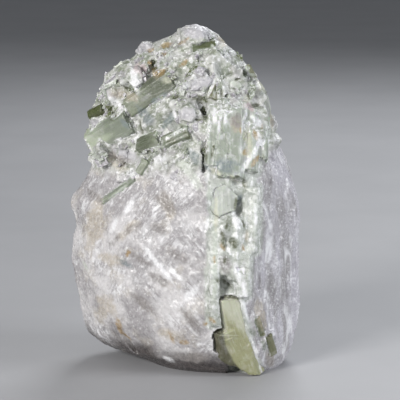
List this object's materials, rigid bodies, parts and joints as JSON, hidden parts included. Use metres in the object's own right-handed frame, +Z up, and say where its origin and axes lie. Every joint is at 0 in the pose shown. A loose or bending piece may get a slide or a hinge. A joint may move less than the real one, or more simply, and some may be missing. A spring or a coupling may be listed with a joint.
{
  "type": "tourmalinated quartz specimen",
  "caption": "Free-standing hand specimen of milky quartz with green tourmaline prisms grown through it, to display or to hold as a sample of the mineral.",
  "frame": {"origin": "under the middle of the specimen, on the surface that it stands on", "axes": "+Z up; the pictured front faces -Y; +X to the right of someone looking at that front"},
  "size_m": [0.0674, 0.0496, 0.099],
  "materials": {
    "milky_quartz": "milky, vitreous on fresh breaks, frosty and crumbly over the top",
    "green_tourmaline": "vitreous, striated along each prism, with frosty edges",
    "pale_tourmaline": "pale grey green, fibrous, with white frosty faces"
  },
  "bodies": {
    "root": {"quartz_matrix": "milky_quartz", "tourmaline_lower_prism": "green_tourmaline", "tourmaline_left_prism_outer": "green_tourmaline", "tourmaline_left_prism_inner": "green_tourmaline", "tourmaline_ridge_columns": "pale_tourmaline", "tourmaline_pale_end": "pale_tourmaline", "tourmaline_vein_columns": "pale_tourmaline", "tourmaline_vein_side": "pale_tourmaline", "tourmaline_vein_blade": "pale_tourmaline", "tourmaline_oval_crystal": "green_tourmaline", "tourmaline_square_crystal": "green_tourmaline", "tourmaline_needle": "pale_tourmaline", "tourmaline_middle_crystal": "green_tourmaline", "tourmaline_peak_crystal": "green_tourmaline", "tourmaline_slope_crystal": "green_tourmaline", "tourmaline_small_crystal": "green_tourmaline", "tourmaline_edge_crystal_1": "green_tourmaline", "tourmaline_edge_crystal_2": "green_tourmaline", "tourmaline_fleck_upper": "green_tourmaline", "tourmaline_fleck_lower": "green_tourmaline", "tourmaline_back_prism": "green_tourmaline", "tourmaline_back_needle": "pale_tourmaline"}
  },
  "joints": []
}
